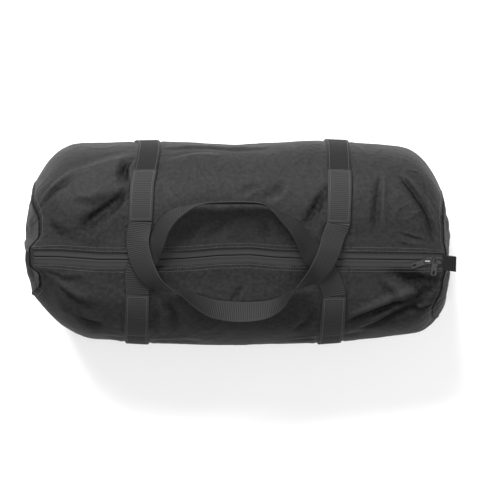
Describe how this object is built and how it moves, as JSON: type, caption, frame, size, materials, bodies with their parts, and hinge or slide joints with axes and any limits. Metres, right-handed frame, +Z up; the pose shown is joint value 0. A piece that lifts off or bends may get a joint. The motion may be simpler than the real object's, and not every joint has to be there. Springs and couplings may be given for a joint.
{
  "type": "carry bag",
  "caption": "Soft duffel-shaped carry bag for a folding strip softbox, with a long top zipper, webbing bands and two crossed webbing handles.",
  "frame": {"origin": "on the floor under the middle of the bag", "axes": "+X along the bag towards the zipper pulls' parked end, +Y to the back, where the upper handle is sewn, +Z up"},
  "size_m": [0.71, 0.3478, 0.2824],
  "materials": {
    "bag_fabric": "woven nylon with a soft sheen",
    "webbing": "ribbed nylon webbing",
    "binding_tape": "woven tape",
    "zipper_tape": "woven tape",
    "zipper_coil": "nylon coil",
    "slider_metal": "black enamel, worn bright on the bridge",
    "pull_metal": "black enamel",
    "stop_metal": "black enamel"
  },
  "bodies": {
    "bag": {"band_left": "webbing", "band_right": "webbing", "body_panel_back": "bag_fabric", "body_panel_front": "bag_fabric", "end_panel_left": "bag_fabric", "end_panel_right": "bag_fabric", "end_tab_left": "webbing", "end_tab_right": "webbing", "handle_end_back_left": "webbing", "handle_end_back_right": "webbing", "handle_end_front_left": "webbing", "handle_end_front_right": "webbing", "seam_binding_left": "binding_tape", "seam_binding_right": "binding_tape", "zipper_coil_end_left": "zipper_coil", "zipper_coil_end_right": "zipper_coil", "zipper_stop_left": "stop_metal", "zipper_stop_right": "stop_metal", "zipper_tape_end_left": "zipper_tape", "zipper_tape_end_right": "zipper_tape"},
    "front_mouth": {"mouth_strip_front": "bag_fabric", "zipper_tape_front": "zipper_tape", "zipper_coil_front": "zipper_coil"},
    "back_mouth": {"mouth_strip_back": "bag_fabric", "zipper_tape_back": "zipper_tape", "zipper_coil_back": "zipper_coil"},
    "left_slider": {"slider_left": "slider_metal"},
    "left_pull": {"pull_left": "pull_metal"},
    "right_slider": {"slider_right": "slider_metal"},
    "right_pull": {"pull_right": "pull_metal"},
    "back_carry_handle": {"back_handle": "webbing"},
    "front_carry_handle": {"front_handle": "webbing"}
  },
  "joints": [
    {"name": "slider_left_travel", "type": "slide", "parent": "bag", "child": "left_slider", "axis": [1, 0, 0], "range_m": [-0.615, 0]},
    {"name": "slider_right_play", "type": "slide", "parent": "bag", "child": "right_slider", "axis": [1, 0, 0], "range_m": [-0.002, 0]},
    {"name": "pull_left_swing", "type": "hinge", "parent": "left_slider", "child": "left_pull", "pos_m": [0.3075, 0, 0.2394], "axis": [-0.342, 0.9397, 0], "range_deg": [0, 140]},
    {"name": "pull_right_swivel", "type": "hinge", "parent": "right_slider", "child": "right_pull", "pos_m": [0.3202, 0, 0.2394], "axis": [0, 0, 1], "range_deg": [-25, 30]},
    {"name": "back_handle_swing", "type": "hinge", "parent": "bag", "child": "back_carry_handle", "pos_m": [0, 0.0609, 0.2424], "axis": [-1, 0, 0], "range_deg": [0, 135]},
    {"name": "front_handle_swing", "type": "hinge", "parent": "bag", "child": "front_carry_handle", "pos_m": [0, -0.0609, 0.2424], "axis": [1, 0, 0], "range_deg": [0, 45]},
    {"name": "mouth_front_fold", "type": "hinge", "parent": "bag", "child": "front_mouth", "pos_m": [0, -0.06, 0.2358], "axis": [-1, 0, 0], "range_deg": [0, 75]},
    {"name": "mouth_back_fold", "type": "hinge", "parent": "bag", "child": "back_mouth", "pos_m": [0, 0.06, 0.2358], "axis": [1, 0, 0], "range_deg": [0, 75]}
  ],
  "couplings": [
    {"joint": "front_handle_swing", "follows": "back_handle_swing", "ratio": 0.3333}
  ]
}
